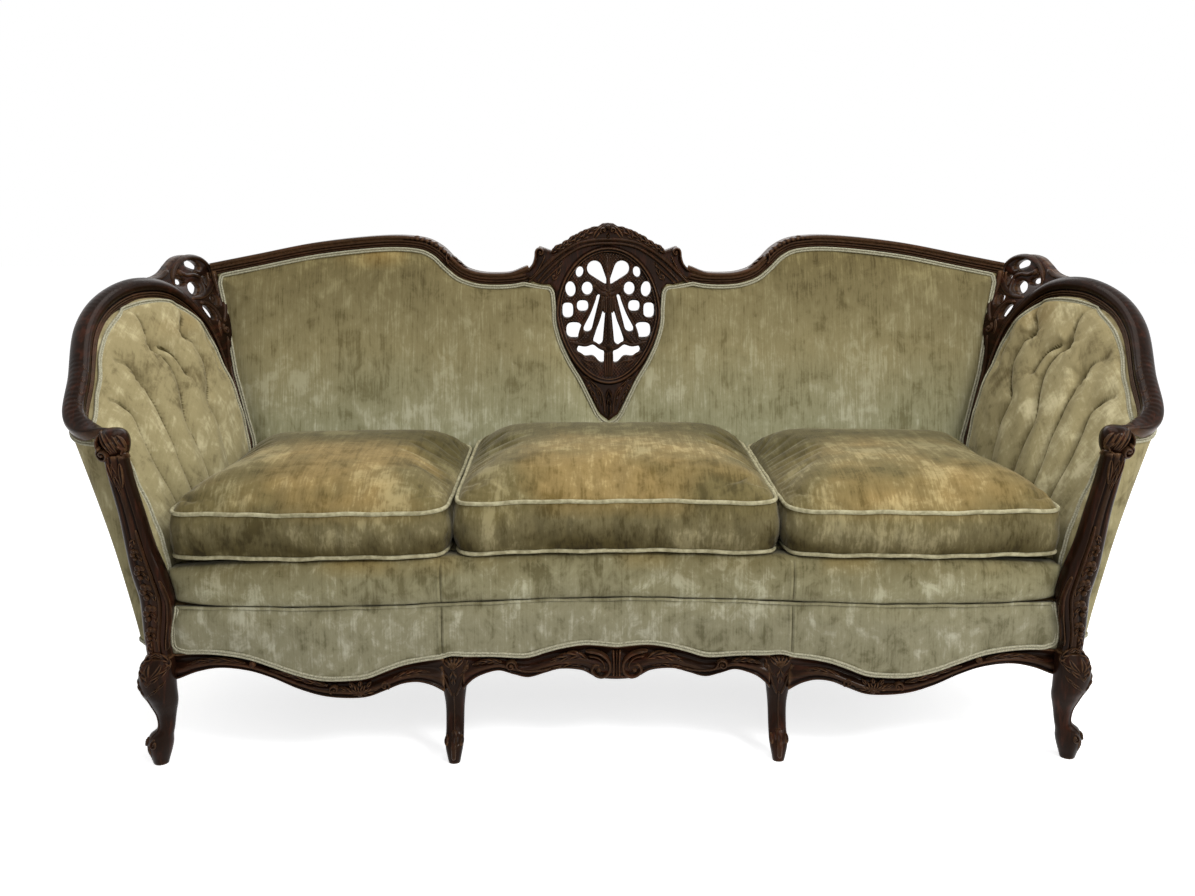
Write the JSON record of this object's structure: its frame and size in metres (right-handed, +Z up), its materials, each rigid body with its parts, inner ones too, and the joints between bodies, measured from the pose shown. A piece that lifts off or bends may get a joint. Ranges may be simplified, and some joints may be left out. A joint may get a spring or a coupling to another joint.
{
  "type": "cabriole sofa",
  "caption": "Carved-frame sofa with curled tufted arms, a raked wrap-round back with a pierced oval medallion, sprung seat, loose cushions and cabriole legs.",
  "frame": {"origin": "on the floor, in the middle of the sofa's box", "axes": "+X to the right as seen from the front, +Y to the back, +Z up; left and right in names are the viewer's"},
  "size_m": [2.0208, 0.83, 0.9331],
  "materials": {
    "mahogany": "dark mahogany stain under a glossy varnish, darker in the carving",
    "frame_wood": "bare sawn hardwood, hidden under the covers",
    "velvet": "sage to olive cotton velvet with a crushed, mottled pile",
    "cushion_velvet": "olive-gold cotton velvet, rubbed lighter on the crowns",
    "burlap": "coarse jute webbing and deck cloth",
    "dust_cloth": "thin black cambric",
    "spring_steel": "coppered steel wire, hidden in the seat"
  },
  "bodies": {
    "frame": {"arm_post_left": "mahogany", "arm_post_right": "mahogany", "arm_rail_left": "mahogany", "arm_rail_right": "mahogany", "arm_scroll_left": "mahogany", "arm_scroll_right": "mahogany", "back_post_left": "mahogany", "back_post_right": "mahogany", "corner_carving_left": "mahogany", "corner_carving_right": "mahogany", "crest_rail_left": "mahogany", "crest_rail_right": "mahogany", "dust_cover": "dust_cloth", "front_apron_centre": "mahogany", "front_apron_left": "mahogany", "front_apron_right": "mahogany", "front_border": "velvet", "front_corner_block_left": "frame_wood", "front_corner_block_right": "frame_wood", "front_corner_leg_left": "mahogany", "front_corner_leg_right": "mahogany", "front_inner_leg_left": "mahogany", "front_inner_leg_right": "mahogany", "front_seat_rail": "frame_wood", "inside_arm_left": "velvet", "inside_arm_right": "velvet", "inside_back": "velvet", "lower_back_rail": "frame_wood", "medallion_cresting": "mahogany", "medallion_splat": "mahogany", "outside_arm_left": "velvet", "outside_arm_right": "velvet", "outside_back": "velvet", "rear_corner_block_left": "frame_wood", "rear_corner_block_right": "frame_wood", "rear_leg_left": "mahogany", "rear_leg_right": "mahogany", "rear_seat_rail": "frame_wood", "seat_brace_left": "frame_wood", "seat_brace_right": "frame_wood", "seat_deck": "burlap", "seat_spring_1": "spring_steel", "seat_spring_2": "spring_steel", "seat_spring_3": "spring_steel", "seat_spring_4": "spring_steel", "seat_spring_5": "spring_steel", "seat_spring_6": "spring_steel", "seat_spring_7": "spring_steel", "seat_spring_8": "spring_steel", "seat_spring_9": "spring_steel", "seat_webbing": "burlap", "side_seat_rail_left": "frame_wood", "side_seat_rail_right": "frame_wood", "spring_edge": "velvet"},
    "cushion_left": {"seat_cushion_left": "cushion_velvet"},
    "cushion_middle": {"seat_cushion_middle": "cushion_velvet"},
    "cushion_right": {"seat_cushion_right": "cushion_velvet"}
  },
  "joints": [
    {"name": "left_cushion_lift", "type": "slide", "parent": "frame", "child": "cushion_left", "axis": [0, 0, 1], "range_m": [0, 0.56]},
    {"name": "middle_cushion_lift", "type": "slide", "parent": "frame", "child": "cushion_middle", "axis": [0, 0, 1], "range_m": [0, 0.56]},
    {"name": "right_cushion_lift", "type": "slide", "parent": "frame", "child": "cushion_right", "axis": [0, 0, 1], "range_m": [0, 0.56]}
  ]
}
